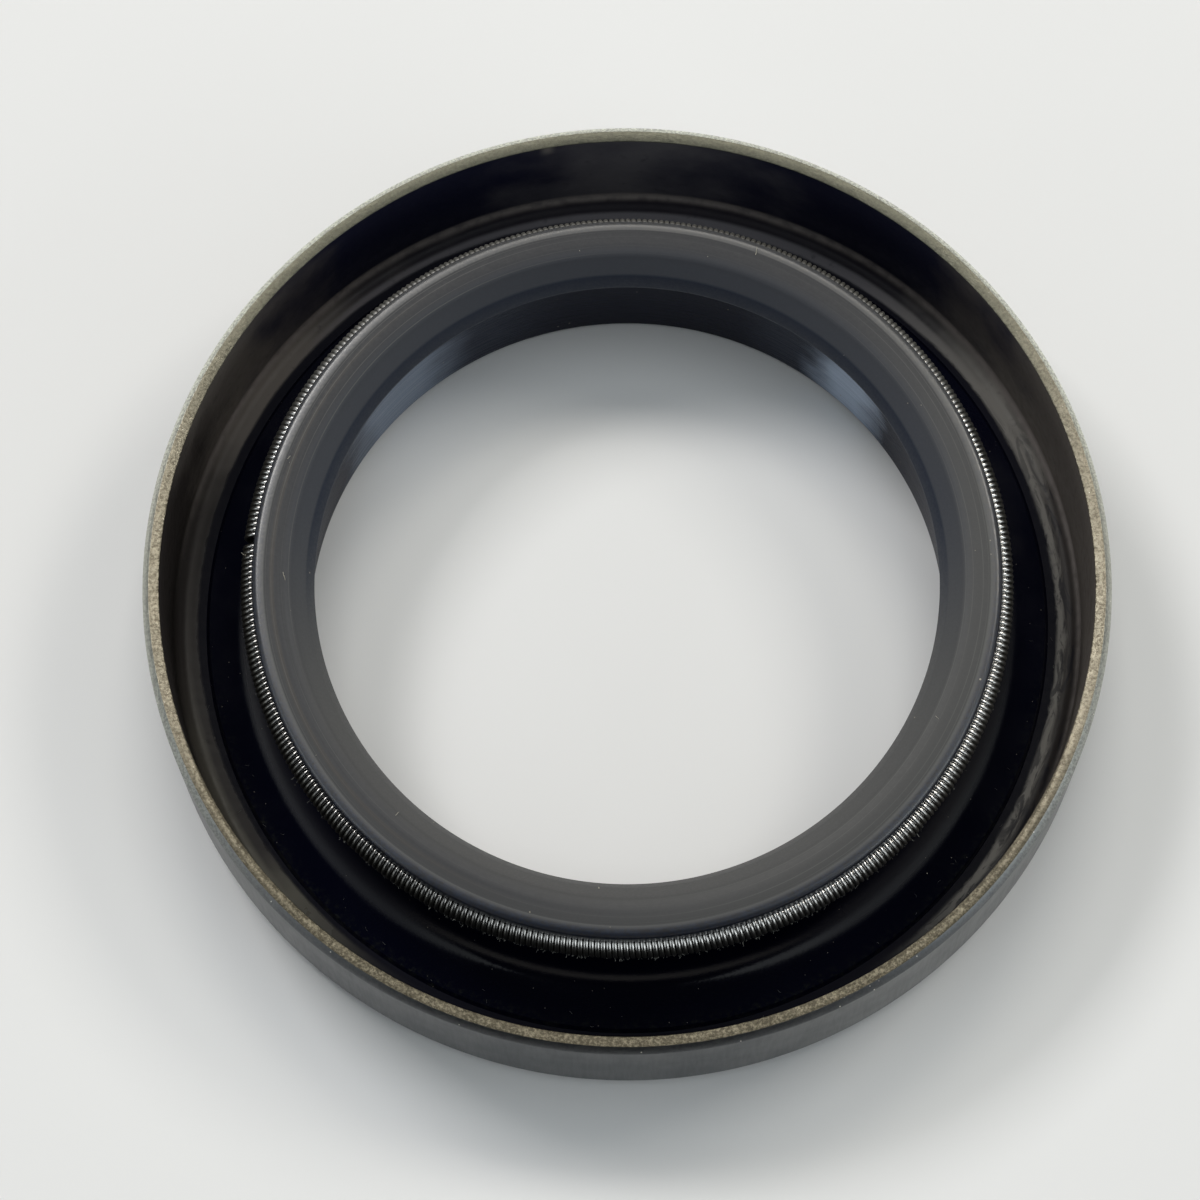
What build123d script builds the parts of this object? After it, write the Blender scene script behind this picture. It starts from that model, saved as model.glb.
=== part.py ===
from build123d import *
import math
import os

# Radial shaft seal with a bare metal case and one spring-loaded lip.
# Z is the axis of the shaft. The air-side face lies on z = 0, and the open oil
# side, where the spring shows, faces up. All sizes are in millimetres.
# Each piece is drawn as its half section, radius across and height up, and
# turned about the axis. Its rounded stretches are turned as short flats, which
# keep the meshes light.

# What the seal fits
shaft_diameter = 45.0
housing_bore_diameter = 68.0

# Flats of the rounded stretches
flat_turn = math.radians(36)   # the most that a round turns from one flat to the next
flat_error = 0.07              # the most that a flat leaves the true round

# Outer case: a cup drawn from steel sheet, its flange turned inwards
case_width = 12.0
sheet_thickness = 1.2
case_corner_radius = 2.2       # outside of the bend between wall and flange
bend_radius_least = 0.2        # inside of that bend, if the sheet is very thick
rim_chamfer = 0.45             # broken outer edge of the open end
rim_fall = 0.12                # the cut edge slopes down by this much to the inside
flange_shaft_gap = 2.7         # from the shaft to the flange's inner edge

# Sealing lip: contact edge and the slopes on both sides of it
lip_interference = 0.5         # the free lip is this much smaller in radius than the shaft
contact_height = 10.6          # from the back face to the contact band
contact_width = 0.3
air_cone_height = 1.7          # shallow slope from the bore up to the contact band
bore_gap_top = 0.35            # room round the shaft below that slope
bore_gap_back = 0.55           # the bore flares a little towards the back face
edge_slope_width = 0.45        # steep slope just above the contact band
edge_slope_height = 0.85
oil_cone_width = 1.15          # slope from there up to the front face
oil_cone_height = 1.5

# Sealing lip: head that carries the spring
head_thickness = 4.25          # from the contact band to the head's outer side
face_crown = 0.11              # rise of the domed front face over its inner crease
face_drop = 0.08               # its outer crease is this much lower than the inner one
face_margin = 0.82             # from the outer crease to the head's outer side
head_corner_radius = 0.5
corner_drop = 0.05             # fall from the outer crease to the rounded corner
heel_setback = 0.15            # bevelled heel below the groove
heel_thickness = 0.18

# Sealing lip: flexing wall, root and the skin moulded over the flange
flex_wall = 1.75               # thickness at the waist, over the top of the bore
foot_height = 2.2              # the flexing wall starts this far over the flange
root_reach = 3.2               # hollow fillet from the wall's foot out to the skin
skin_thickness = 0.3
skin_bevel = 0.25              # the skin's outer edge thins out over this width
bare_floor = 1.3               # flange left bare between the skin and the bend
back_recess = 0.2              # the rubber stays this far inside the back face
back_bevel = 0.3

# Garter spring: a close coil bent to a ring, one end screwed into the other
coil_radius = 0.95
wire_diameter = 0.38
seat_clearance = 0.02          # between the coil and its groove
join_gap = 0.3                 # where the two ends meet, with the nib bare between them
join_angle = 175.0             # place of the join round the ring

# Worked out from the sizes above
shaft_radius = shaft_diameter / 2
case_radius = housing_bore_diameter / 2
case_inner_radius = case_radius - sheet_thickness
bend_radius = max(case_corner_radius - sheet_thickness, bend_radius_least)
flange_edge_radius = shaft_radius + flange_shaft_gap
lip_radius = shaft_radius - lip_interference
contact_top = contact_height + contact_width
head_radius = lip_radius + head_thickness
spring_height = contact_height + contact_width / 2
groove_radius = coil_radius + seat_clearance


def flats_along(edge):
    """Number of flats for one edge of a section: several for an arc, one for a line."""
    if edge.geom_type != GeomType.CIRCLE:
        return 1
    turn_each = min(flat_turn, 2 * math.acos(1 - flat_error / edge.radius))
    return math.ceil(edge.length / edge.radius / turn_each - 0.001)


def section_face(outline):
    """Half section standing in the XZ plane, its arcs divided into flats."""
    corners = []
    for edge in outline.order_edges():
        count = flats_along(edge)
        corners += [edge @ (step / count) for step in range(count)]
    return make_face(Plane.XZ * Polyline(corners, close=True))


def turned(outline):
    """A full ring from its closed half section."""
    return revolve(section_face(outline.wire()), Axis.Z)


def outer_case():
    """Straight wall, bent corner and inward flange, of one sheet thickness."""
    with BuildLine() as outline:
        outside = FilletPolyline(
            (flange_edge_radius, 0),
            (case_radius, 0),
            (case_radius, case_width - rim_chamfer),
            radius=case_corner_radius,
        )
        Polyline(
            outside @ 1,
            (case_radius - rim_chamfer, case_width),
            (case_inner_radius, case_width - rim_fall),
        )
        inside = FilletPolyline(
            (case_inner_radius, case_width - rim_fall),
            (case_inner_radius, sheet_thickness),
            (flange_edge_radius, sheet_thickness),
            radius=bend_radius,
        )
        Line(inside @ 1, outside @ 0)
    return turned(outline)


def sealing_lip():
    """Rubber moulded to the flange, in one piece from the skin to the contact edge."""
    bore_top_radius = shaft_radius + bore_gap_top
    bore_back_radius = shaft_radius + bore_gap_back
    bore_top = contact_height - air_cone_height
    slope_radius = lip_radius + edge_slope_width
    slope_top = contact_top + edge_slope_height
    crease_radius = slope_radius + oil_cone_width
    crease_height = slope_top + oil_cone_height
    face_outer_radius = head_radius - face_margin
    face_outer_height = crease_height - face_drop
    corner_top = face_outer_height - corner_drop
    groove_top = spring_height + groove_radius
    groove_bottom = spring_height - groove_radius
    heel = (head_radius - heel_setback, groove_bottom - heel_thickness)
    foot = (flange_edge_radius, sheet_thickness + foot_height)
    waist = (bore_top_radius + flex_wall, (heel[1] + foot[1]) / 2)
    skin_radius = case_inner_radius - bend_radius - bare_floor
    skin_top = sheet_thickness + skin_thickness
    reach = min(root_reach, (skin_radius - skin_bevel - foot[0]) * 0.9)

    with BuildLine() as outline:
        Polyline(
            (bore_back_radius, back_recess + back_bevel),
            (bore_top_radius, bore_top),
            (lip_radius, contact_height),
            (lip_radius, contact_top),
            (slope_radius, slope_top),
            (crease_radius, crease_height),
        )
        ThreePointArc(
            (crease_radius, crease_height),
            ((crease_radius + face_outer_radius) / 2, crease_height + face_crown),
            (face_outer_radius, face_outer_height),
        )
        Line((face_outer_radius, face_outer_height), (head_radius - head_corner_radius, corner_top))
        corner = TangentArc(
            (head_radius - head_corner_radius, corner_top),
            (head_radius, corner_top - head_corner_radius),
            tangent=(1, 0),
        )
        Line(corner @ 1, (head_radius, groove_top))
        ThreePointArc(
            (head_radius, groove_top),
            (head_radius - groove_radius, spring_height),
            (head_radius, groove_bottom),
        )
        Line((head_radius, groove_bottom), heel)
        flex = ThreePointArc(heel, waist, foot)
        root = TangentArc(foot, (foot[0] + reach, skin_top), tangent=flex % 1)
        Polyline(
            root @ 1,
            (skin_radius - skin_bevel, skin_top),
            (skin_radius, sheet_thickness),
            (flange_edge_radius, sheet_thickness),
            (flange_edge_radius, back_recess),
            (bore_back_radius + back_bevel, back_recess),
            (bore_back_radius, back_recess + back_bevel),
        )
    return turned(outline)


def garter_spring():
    """Coil ring seated in the lip's groove, its thin nib bridging the join."""
    gap_angle = math.degrees(join_gap / head_radius)
    seat = Pos(head_radius, spring_height) * Rot(0, 0, 90)  # first flat starts at the groove's top
    coil_circle = Wire.make_circle(coil_radius).moved(seat)
    nib_circle = Wire.make_circle(coil_radius - wire_diameter).moved(seat)
    coil = revolve(section_face(coil_circle), Axis.Z, 360 - gap_angle)
    nib = revolve(section_face(nib_circle), Axis.Z, 3 * gap_angle)
    nib_start = Rot(0, 0, -2 * gap_angle)
    return Rot(0, 0, join_angle + gap_angle / 2) * (coil + nib_start * nib)


os.makedirs("parts", exist_ok=True)
export_step(outer_case(), "parts/outer_case.step")
export_step(sealing_lip(), "parts/sealing_lip.step")
export_step(garter_spring(), "parts/garter_spring.step")
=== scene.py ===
import bpy
import math
import random
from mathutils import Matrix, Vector


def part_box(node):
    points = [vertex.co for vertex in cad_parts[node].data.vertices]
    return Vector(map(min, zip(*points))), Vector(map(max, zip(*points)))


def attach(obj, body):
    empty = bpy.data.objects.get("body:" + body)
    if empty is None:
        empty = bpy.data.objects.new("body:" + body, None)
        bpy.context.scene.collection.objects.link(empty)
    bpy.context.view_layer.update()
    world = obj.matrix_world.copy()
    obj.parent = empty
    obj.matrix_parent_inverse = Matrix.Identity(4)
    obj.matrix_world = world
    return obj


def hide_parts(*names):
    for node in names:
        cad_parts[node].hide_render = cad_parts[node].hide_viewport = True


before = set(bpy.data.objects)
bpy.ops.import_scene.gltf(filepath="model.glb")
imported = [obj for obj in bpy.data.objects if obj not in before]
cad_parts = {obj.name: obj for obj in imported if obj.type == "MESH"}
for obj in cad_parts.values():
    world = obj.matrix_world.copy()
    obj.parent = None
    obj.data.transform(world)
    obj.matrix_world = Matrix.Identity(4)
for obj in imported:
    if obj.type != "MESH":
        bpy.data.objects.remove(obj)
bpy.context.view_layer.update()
mm = 0.001
weldGap = 0.001 * mm    # points of a mesh closer than this are merged
bpy.context.scene.view_settings.view_transform = "Standard"
print("frame loaded")


# hand tools for the meshes

def clearSelection():
    if bpy.context.object and bpy.context.object.mode != "OBJECT":
        bpy.ops.object.mode_set(mode="OBJECT")
    bpy.ops.object.select_all(action="DESELECT")


def arcThrough(start, middle, end, steps):
    # points after start, up to end, on the circle through all three
    (ax, ay), (bx, by), (cx, cy) = start, middle, end
    d = 2 * (ax * (by - cy) + bx * (cy - ay) + cx * (ay - by))
    a2, b2, c2 = ax * ax + ay * ay, bx * bx + by * by, cx * cx + cy * cy
    ox = (a2 * (by - cy) + b2 * (cy - ay) + c2 * (ay - by)) / d
    oy = (a2 * (cx - bx) + b2 * (ax - cx) + c2 * (bx - ax)) / d
    radius = math.hypot(ax - ox, ay - oy)
    first = math.atan2(ay - oy, ax - ox)
    turn = (math.atan2(cy - oy, cx - ox) - first) % (2 * math.pi)
    passed = (math.atan2(by - oy, bx - ox) - first) % (2 * math.pi)
    if passed > turn:
        turn -= 2 * math.pi
    angles = [first + turn * step / steps for step in range(1, steps + 1)]
    return [(ox + radius * math.cos(angle), oy + radius * math.sin(angle)) for angle in angles]


def roundOff(before, corner, after, radius, steps):
    # points of a fillet of that radius, in place of the corner
    ux, uy = before[0] - corner[0], before[1] - corner[1]
    vx, vy = after[0] - corner[0], after[1] - corner[1]
    u, v = math.hypot(ux, uy), math.hypot(vx, vy)
    ux, uy, vx, vy = ux / u, uy / u, vx / v, vy / v
    half = math.acos(max(-1, min(1, ux * vx + uy * vy))) / 2
    cut = radius / math.tan(half)
    start = (corner[0] + ux * cut, corner[1] + uy * cut)
    end = (corner[0] + vx * cut, corner[1] + vy * cut)
    mx, my = ux + vx, uy + vy
    m = math.hypot(mx, my)
    reach = radius / math.sin(half) - radius
    middle = (corner[0] + mx / m * reach, corner[1] + my / m * reach)
    return [start] + arcThrough(start, middle, end, steps)


def drawSection(name, outline):
    # one vertex pulled round the half section, radius along X and height along Z, in millimetres
    clearSelection()
    bpy.ops.mesh.primitive_plane_add(size=mm)
    piece = bpy.context.object
    piece.name = name
    bpy.ops.object.mode_set(mode="EDIT")
    bpy.ops.mesh.merge(type="CENTER")
    bpy.ops.transform.translate(value=(outline[0][0] * mm, 0, outline[0][1] * mm))
    for here, there in zip(outline, outline[1:] + outline[:1]):
        step = ((there[0] - here[0]) * mm, 0, (there[1] - here[1]) * mm)
        bpy.ops.mesh.extrude_vertices_move(TRANSFORM_OT_translate={"value": step})
    bpy.ops.mesh.select_all(action="SELECT")
    bpy.ops.mesh.remove_doubles(threshold=weldGap)
    return piece


def turnSection(piece, steps):
    # the section spun into a closed ring, its faces turned outwards
    bpy.ops.mesh.select_all(action="SELECT")
    bpy.ops.mesh.spin(steps=steps, angle=2 * math.pi, center=(0, 0, 0), axis=(0, 0, 1))
    bpy.ops.mesh.select_all(action="SELECT")
    bpy.ops.mesh.remove_doubles(threshold=weldGap)
    bpy.ops.mesh.normals_make_consistent(inside=False)
    bpy.ops.object.mode_set(mode="OBJECT")


def smoothOver(piece, degrees):
    clearSelection()
    piece.select_set(True)
    bpy.context.view_layer.objects.active = piece
    bpy.ops.object.shade_smooth_by_angle(angle=math.radians(degrees))


def fillSlots(piece, materials, slotFor):
    # slotFor gives the material's number from a face's radius and height in millimetres
    for material in materials:
        piece.data.materials.append(material)
    for face in piece.data.polygons:
        radius = math.hypot(face.center.x, face.center.y) / mm
        face.material_index = slotFor(radius, face.center.z / mm)


def seat(piece, node):
    # the finished piece rides on the part and stands for its node
    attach(piece, "root")
    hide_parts(node)


# hand tools for the materials

def startMaterial(name):
    material = bpy.data.materials.new(name)
    material.use_nodes = True
    tree = material.node_tree
    return material, tree, tree.nodes["Principled BSDF"]


def plugIn(tree, node, sockets):
    # a socket is named with an underscore for a space, or by n and its number
    for name, value in sockets.items():
        numbered = name[0] == "n" and name[1:].isdigit()
        socket = node.inputs[int(name[1:]) if numbered else name.replace("_", " ")]
        if isinstance(value, bpy.types.NodeSocket):
            tree.links.new(value, socket)
        else:
            socket.default_value = value


def addNode(tree, kind, settings=None, **sockets):
    # each socket gets a value or another node's output
    node = tree.nodes.new(kind)
    for name, value in (settings or {}).items():
        setattr(node, name, value)
    plugIn(tree, node, sockets)
    return node


def coat(tree, shader, relief=None, **sockets):
    # fills the shader's sockets; relief is a height, its strength and its depth in millimetres
    plugIn(tree, shader, sockets)
    if relief:
        height, strength, depth = relief
        bump = addNode(tree, "ShaderNodeBump", Height=height, Strength=strength, Distance=depth * mm)
        tree.links.new(bump.outputs[0], shader.inputs["Normal"])


def calc(tree, operation, first, second=0.0, third=0.0):
    node = addNode(tree, "ShaderNodeMath", {"operation": operation}, n0=first, n1=second, n2=third)
    return node.outputs[0]


def times(tree, first, *others):
    for other in others:
        first = calc(tree, "MULTIPLY", first, other)
    return first


def fade(tree, value, low, high, lowResult=0.0, highResult=1.0):
    # smooth change from one result to the other while value goes from low to high
    node = addNode(tree, "ShaderNodeMapRange", {"interpolation_type": "SMOOTHSTEP"}, Value=value,
                   From_Min=low, From_Max=high, To_Min=lowResult, To_Max=highResult)
    return node.outputs["Result"]


def mixColours(tree, factor, first, second):
    node = addNode(tree, "ShaderNodeMix", {"data_type": "RGBA"}, n0=factor, n6=first, n7=second)
    return node.outputs[2]


def mixValues(tree, factor, first, second):
    node = addNode(tree, "ShaderNodeMix", {"data_type": "FLOAT"}, n0=factor, n2=first, n3=second)
    return node.outputs[0]


def grain(tree, vector, scale, detail=3.0, roughness=0.5):
    node = addNode(tree, "ShaderNodeTexNoise", Vector=vector, Scale=scale, Detail=detail,
                   Roughness=roughness)
    return node.outputs["Fac"]


def ringPlaces(tree):
    # a point's place in millimetres, across from the axis and up, and its angle round the ring
    place = addNode(tree, "ShaderNodeTexCoord").outputs["Object"]
    scaled = addNode(tree, "ShaderNodeVectorMath", {"operation": "SCALE"}, n0=place, Scale=1 / mm).outputs[0]
    x, y, up = addNode(tree, "ShaderNodeSeparateXYZ", Vector=scaled).outputs
    across = calc(tree, "SQRT", calc(tree, "ADD", times(tree, x, x), times(tree, y, y)))
    angle = calc(tree, "ARCTAN2", y, x)
    return {"place": scaled, "up": up, "across": across, "angle": angle,
            "sine": calc(tree, "SINE", angle), "cosine": calc(tree, "COSINE", angle)}


def facing(tree, ring, direction):
    # 1 where the ring lies in that direction, in radians from +X, and -1 opposite
    return calc(tree, "COSINE", calc(tree, "SUBTRACT", ring["angle"], direction))


def distanceFrom(tree, value, middle):
    return calc(tree, "ABSOLUTE", calc(tree, "SUBTRACT", value, middle))


def swing(tree, value, amount):
    # a grain from 0 to 1, centred on 0 and scaled to that amount
    return times(tree, calc(tree, "SUBTRACT", value, 0.5), amount)


def streaked(tree, ring, first, stretch):
    # a place for grain that runs along the ring: the larger the stretch, the shorter its streaks
    return addNode(tree, "ShaderNodeCombineXYZ", X=first, Y=times(tree, ring["sine"], stretch),
                   Z=times(tree, ring["cosine"], stretch)).outputs[0]


def specks(tree, ring, perMillimetre, size, rarity):
    # 1 on a few scattered specks: size is in cells, and rarity 1 leaves none
    cells = addNode(tree, "ShaderNodeTexVoronoi", Vector=ring["place"], Scale=perMillimetre,
                    Randomness=1.0)
    chance = addNode(tree, "ShaderNodeSeparateColor", Color=cells.outputs["Color"]).outputs[0]
    picked = calc(tree, "GREATER_THAN", chance, rarity)
    return times(tree, fade(tree, cells.outputs["Distance"], size, size * 1.6, 1.0, 0.0), picked)


def roundTheRing(tree, ring, stops, wander=0.0):
    # a colour that changes round the ring: each stop is degrees from -180 to 180, and its colour
    part = calc(tree, "MULTIPLY_ADD", ring["angle"], 0.5 / math.pi, 0.5)
    part = calc(tree, "ADD", part, wander)
    ramp = addNode(tree, "ShaderNodeValToRGB", Fac=part)
    ramp.color_ramp.interpolation = "EASE"
    elements = ramp.color_ramp.elements
    elements[0].position, elements[0].color = 0.0, stops[0][1]
    elements[1].position, elements[1].color = 1.0, stops[-1][1]
    for degrees, colour in stops[1:-1]:
        elements.new(degrees / 360 + 0.5).color = colour
    return ramp.outputs["Color"]


# the drawn steel case

caseFinish = {
    "cutEdge": (0.41, 0.38, 0.30, 1),          # bare sheared steel
    "cutEdgeDark": (0.16, 0.14, 0.105, 1),
    # painted reflection tone for the far side, and painted shade tones for the near side
    "cutEdgeFarReflection": (0.135, 0.148, 0.118, 1),
    "cutEdgeNearShade": (0.020, 0.020, 0.014, 1),
    "paleCutEdgeShade": (0.215, 0.20, 0.15, 1),
    "chamfer": (0.96, 0.98, 0.86, 1),
    "chamferDark": (0.45, 0.45, 0.40, 1),
    # painted shade tone for the chamfer's near side
    "chamferNearShade": (0.12, 0.125, 0.135, 1),
    "speck": (0.85, 0.82, 0.75, 1),            # bright crystals of bare metal
    "edgeFilmAndShade": (0.03, 0.026, 0.02, 1),      # dark film over the inner edge, also the painted shade over the outer edge at the near side
    "slate": (0.050, 0.054, 0.058, 1),
    "slateWorn": (0.085, 0.088, 0.09, 1),
    "slateSheen": (0.17, 0.172, 0.17, 1),
    "filmNavy": (0.012, 0.013, 0.034, 1),      # navy tone of the film
    "filmGrey": (0.119, 0.113, 0.124, 1),      # grey tone of the film
    "filmBrown": (0.130, 0.115, 0.104, 1),
    "filmDim": (0.036, 0.031, 0.029, 1),
    "filmDark": (0.018, 0.015, 0.015, 1),
    "filmUmber": (0.016, 0.014, 0.019, 1),
    "filmOlive": (0.090, 0.084, 0.066, 1),
    "filmBlack": (0.009, 0.009, 0.014, 1),
    "paleLine": (0.21, 0.188, 0.178, 1),     # pale tone for the run under the rim and the line along the top of the bend
    # painted highlight on the bend and flat to the right
    "filmHighlight": (0.18, 0.17, 0.155, 1),
    # places in millimetres: from the axis, or up from the back
    "filmEnd": (32.80, 32.92),                 # the film thins out on the cut edge
    "nearCreep": 0.2,                          # and reaches further out at the near side
    "nearEdgeShadeStart": (33.2, 33.36),
    "bendTop": (1.5, 2.1),
    "flatEnd": (31.45, 31.85),
    "blotchTop": (1.6, 2.0),
    "smearEnd": (30.72, 31.08),                # rubber smeared past the skin's edge
    "lineLow": (1.35, 1.75),
    "lineHigh": (1.95, 2.4),
    "runHeight": (10.3, 11.6),                 # a run in the film under the rim
    # directions in radians from +X
    "frontMiddle": 4.5,
    "blotchSide": -0.3,
    "leftSmear": 2.5,
    "rightSmear": -0.15,
    "lineSide": 1.2,
    "runSide": 1.745,
    "runHalfWidth": 0.022,
    "drawLines": 110.0,                        # the larger, the closer the draw lines stand
}


def makeCutEdge():
    # granular bare steel, with the dark film overlapping its inner edge unevenly, and painted shade and
    # reflection tones round the ring
    finish = caseFinish
    material, tree, shader = startMaterial("cutEdgeSteel")
    ring = ringPlaces(tree)
    sine = ring["sine"]
    grit = grain(tree, ring["place"], 4.5, 6.0, 0.75)
    patches = grain(tree, ring["place"], 0.9, 3.0)
    colour = mixColours(tree, fade(tree, grit, 0.36, 0.62), finish["cutEdgeDark"], finish["cutEdge"])
    colour = mixColours(tree, specks(tree, ring, 4.2, 0.12, 0.94), colour, finish["speck"])

    # dark film at the inner edge, reaching further out at the near side, and painted shade over the outer
    # edge at the near side
    edge = calc(tree, "ADD", ring["across"], swing(tree, grit, 0.25))
    nearSide = fade(tree, sine, -0.2, -0.7)
    overlapped = calc(tree, "SUBTRACT", edge, times(tree, nearSide, finish["nearCreep"]))
    colour = mixColours(tree, fade(tree, overlapped, *finish["filmEnd"]), finish["edgeFilmAndShade"], colour)
    # painted shade: the outer edge darkened at the near side
    nearEdgeShade = times(tree, fade(tree, edge, *finish["nearEdgeShadeStart"]), nearSide)
    colour = mixColours(tree, nearEdgeShade, colour, finish["edgeFilmAndShade"])

    # painted shade: darker towards the near and far sides; a painted greener reflection on the far side; and
    # a dark, grained painted-shade tone on the near side
    nearFarShade = times(tree, calc(tree, "ABSOLUTE", sine), calc(tree, "MULTIPLY_ADD", sine, -0.22, 0.72))
    colour = mixColours(tree, nearFarShade, colour, finish["cutEdgeDark"])
    colour = mixColours(tree, fade(tree, sine, 0.1, 0.8, 0.0, 0.6), colour, finish["cutEdgeFarReflection"])
    nearShadeTone = mixColours(tree, fade(tree, grit, 0.42, 0.64), finish["cutEdgeNearShade"], finish["paleCutEdgeShade"])
    colour = mixColours(tree, fade(tree, sine, -0.2, -0.9, 0.0, 0.65), colour, nearShadeTone)
    coat(tree, shader, (grit, 0.6, 0.06), Base_Color=colour, Metallic=1.0,
         Roughness=fade(tree, patches, 0.35, 0.65, 0.38, 0.5))
    return material


def makeChamfer():
    # smoother, greener steel with bright crystals, darker at the left and right and at the near side by
    # painted shade
    finish = caseFinish
    material, tree, shader = startMaterial("chamferSteel")
    ring = ringPlaces(tree)
    sine = ring["sine"]
    grit = grain(tree, ring["place"], 5.0, 5.0, 0.7)
    colour = mixColours(tree, fade(tree, grit, 0.36, 0.64), finish["chamferDark"], finish["chamfer"])
    # painted shade: darker at the left and right, and dark at the near side
    sideShade = fade(tree, calc(tree, "ABSOLUTE", sine), 0.0, 0.5, 0.6, 0.0)
    colour = mixColours(tree, sideShade, colour, finish["chamferDark"])
    colour = mixColours(tree, fade(tree, sine, 0.2, -0.8, 0.0, 0.95), colour, finish["chamferNearShade"])
    colour = mixColours(tree, specks(tree, ring, 3.4, 0.13, 0.93), colour, finish["speck"])
    coat(tree, shader, (grit, 0.4, 0.04), Base_Color=colour, Metallic=1.0,
         Roughness=fade(tree, grit, 0.3, 0.7, 0.3, 0.42))
    return material


def makeSlateWall():
    # dark satin surface of the press-fit wall, paler to both sides of its front by a painted reflection,
    # with faint draw lines
    finish = caseFinish
    material, tree, shader = startMaterial("slateWall")
    ring = ringPlaces(tree)
    patches = grain(tree, ring["place"], 0.35, 4.0)
    fine = grain(tree, ring["place"], 9.0, 4.0)
    colour = mixColours(tree, fade(tree, patches, 0.3, 0.7), finish["slate"], finish["slateWorn"])
    # painted reflection: paler to both sides of the front
    sides = fade(tree, facing(tree, ring, finish["frontMiddle"]), 0.96, 0.7, 0.0, 0.8)
    paintedSheen = times(tree, sides, fade(tree, patches, 0.35, 0.6, 0.7, 1.0))
    colour = mixColours(tree, paintedSheen, colour, finish["slateSheen"])
    closeness = finish["drawLines"]
    linePlace = addNode(tree, "ShaderNodeCombineXYZ", X=times(tree, ring["sine"], closeness),
                        Y=times(tree, ring["cosine"], closeness), Z=times(tree, ring["up"], 0.25)).outputs[0]
    drawLines = grain(tree, linePlace, 1.0, 4.0, 0.6)
    colour = mixColours(tree, fade(tree, drawLines, 0.5, 0.75, 0.0, 0.1), colour, finish["slate"])
    coat(tree, shader, (fine, 0.25, 0.02), Base_Color=colour, Metallic=0.35,
         Roughness=fade(tree, drawLines, 0.3, 0.7, 0.4, 0.45))
    return material


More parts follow.
